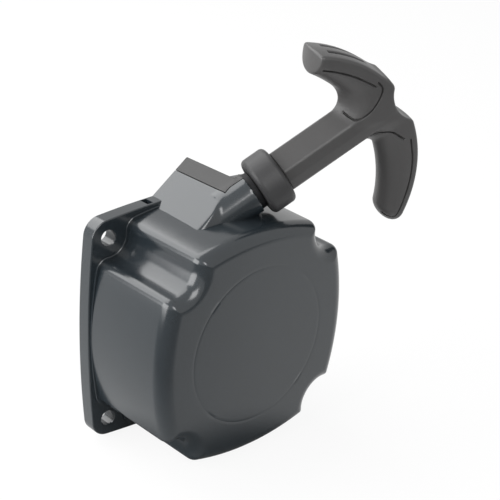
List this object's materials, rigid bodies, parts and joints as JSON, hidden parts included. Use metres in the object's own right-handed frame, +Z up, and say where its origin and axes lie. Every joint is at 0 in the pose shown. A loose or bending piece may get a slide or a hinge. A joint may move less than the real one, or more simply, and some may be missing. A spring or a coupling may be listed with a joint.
{
  "type": "recoil starter",
  "caption": "Recoil starter for a small engine: a bowed square cover with a bolt flange, an angled rope outlet and a T handle on a rope wound on a sprung reel with pawls behind it.",
  "frame": {"origin": "middle of the bolt pattern on the back face of the mounting flange", "axes": "+X to the right seen from the front, +Y into the engine, +Z up"},
  "size_m": [0.1253, 0.0632, 0.1636],
  "materials": {
    "housing": "semi-gloss moulded black",
    "cap": "matte moulded black",
    "eyelet": "dark moulded nylon",
    "case": "moulded grey",
    "reel": "moulded dark grey nylon",
    "grip": "fine-textured moulded dark grey",
    "collar": "fine-textured moulded dark grey",
    "steel": "turned steel",
    "zinc": "zinc-plated steel",
    "spring_steel": "oiled spring steel",
    "bronze": "sintered bronze",
    "rope": "braided cord"
  },
  "bodies": {
    "housing": {"housing": "housing", "outlet_cap": "cap", "rope_eyelet": "eyelet", "reel_post": "steel", "spring_case": "case", "rewind_spring": "spring_steel", "centre_screw": "zinc", "screw_washer": "zinc", "friction_spring": "spring_steel", "rope_lead": "rope"},
    "handle": {"handle_grip": "grip", "handle_collar": "collar", "knot_washer": "zinc", "rope_knot": "rope"},
    "reel": {"reel": "reel", "reel_bush": "bronze", "rope_winding": "rope", "rope_anchor": "rope", "pawl_pins": "steel"},
    "guide": {"pawl_guide": "zinc"},
    "pawl_a": {"pawl_a": "steel"},
    "pawl_b": {"pawl_b": "steel"}
  },
  "joints": [
    {"name": "handle_pull", "type": "slide", "parent": "housing", "child": "handle", "axis": [0.7745, -0.3256, 0.5423], "range_m": [0, 0.6], "stiffness_N_per_m": 15, "deforming": ["rope_lead"]},
    {"name": "reel_spin", "type": "hinge", "parent": "housing", "child": "reel", "pos_m": [0, 0, 0], "axis": [0, 1, 0], "range_deg": [0, 1085], "deforming": ["rewind_spring"]},
    {"name": "guide_turn", "type": "hinge", "parent": "reel", "child": "guide", "pos_m": [0, -0.0138, 0], "axis": [0, -1, 0], "range_deg": [0, 20]},
    {"name": "pawl_a_swing", "type": "hinge", "parent": "reel", "child": "pawl_a", "pos_m": [0.01545, -0.018, 0], "axis": [0, -1, 0], "range_deg": [0, 25.5]},
    {"name": "pawl_b_swing", "type": "hinge", "parent": "reel", "child": "pawl_b", "pos_m": [-0.01545, -0.018, 0], "axis": [0, -1, 0], "range_deg": [0, 25.5]}
  ],
  "couplings": [
    {"joint": "reel_spin", "follows": "handle_pull", "rad_per_m": 31.416},
    {"joint": "pawl_a_swing", "follows": "guide_turn", "ratio": 1.25},
    {"joint": "pawl_b_swing", "follows": "guide_turn", "ratio": 1.25}
  ]
}
